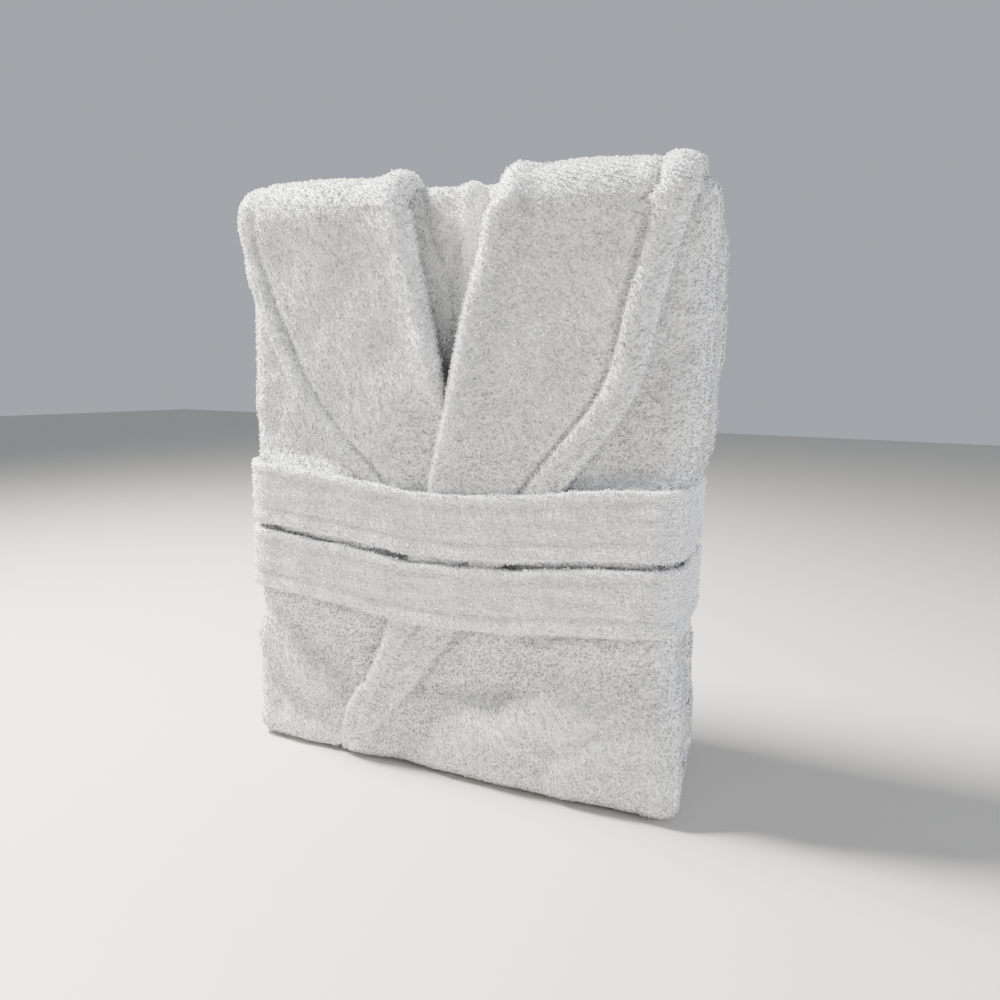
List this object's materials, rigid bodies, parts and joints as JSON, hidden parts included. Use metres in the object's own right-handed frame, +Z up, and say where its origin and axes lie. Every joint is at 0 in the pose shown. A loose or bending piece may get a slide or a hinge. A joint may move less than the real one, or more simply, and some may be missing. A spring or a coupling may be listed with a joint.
{
  "type": "folded bathrobe",
  "caption": "Terry bathrobe with a shawl collar, folded into an upright rectangular bundle and bound round the middle by its own belt.",
  "frame": {"origin": "middle of the bounding box's base, on the surface the bundle stands on", "axes": "+Z up, from the bottom fold to the shoulders; the chest faces -Y; +X is to the right of someone looking at the chest"},
  "size_m": [0.312, 0.1176, 0.3997],
  "materials": {
    "terry": "matt white cotton terry, looped pile both sides",
    "belt_terry": "matt white cotton terry, flattened and stitched along its edges",
    "tape": "matt white woven tape"
  },
  "bodies": {
    "folded_robe": {"left_front_panel": "terry", "right_front_panel": "terry", "back_panel": "terry", "neck_collar": "terry", "left_collar": "terry", "right_collar": "terry", "right_front_facing": "terry", "bottom_hem": "terry", "left_chest_fold_in": "terry", "left_skirt_fold_in": "terry", "left_sleeve": "terry", "left_cuff": "terry", "left_pocket": "terry", "right_chest_fold_in": "terry", "right_skirt_fold_in": "terry", "right_sleeve": "terry", "right_cuff": "terry", "right_pocket": "terry", "hanging_loop": "tape", "left_belt_loop": "tape", "right_belt_loop": "tape"},
    "belt_turns": {"belt": "belt_terry"},
    "belt_end": {"belt_tail": "belt_terry"},
    "left_lapel_edge": {"left_collar_edge": "terry"},
    "right_lapel_edge": {"right_collar_edge": "terry"}
  },
  "joints": [
    {"name": "belt_slide", "type": "slide", "parent": "folded_robe", "child": "belt_turns", "axis": [0, 0, 1], "range_m": [0, 0.3]},
    {"name": "belt_end_lift", "type": "hinge", "parent": "belt_turns", "child": "belt_end", "pos_m": [-0.06, 0.0588, 0.1915], "axis": [0, 0, 1], "range_deg": [0, 70], "stiffness_Nm_per_rad": 0.003},
    {"name": "left_lapel_lift", "type": "hinge", "parent": "folded_robe", "child": "left_lapel_edge", "pos_m": [-0.0603, -0.0538, 0.212], "axis": [-0.566, 0, 0.8244], "range_deg": [0, 50], "stiffness_Nm_per_rad": 0.003},
    {"name": "right_lapel_lift", "type": "hinge", "parent": "folded_robe", "child": "right_lapel_edge", "pos_m": [0.0773, -0.0538, 0.212], "axis": [-0.3776, 0, -0.926], "range_deg": [0, 50], "stiffness_Nm_per_rad": 0.003}
  ]
}
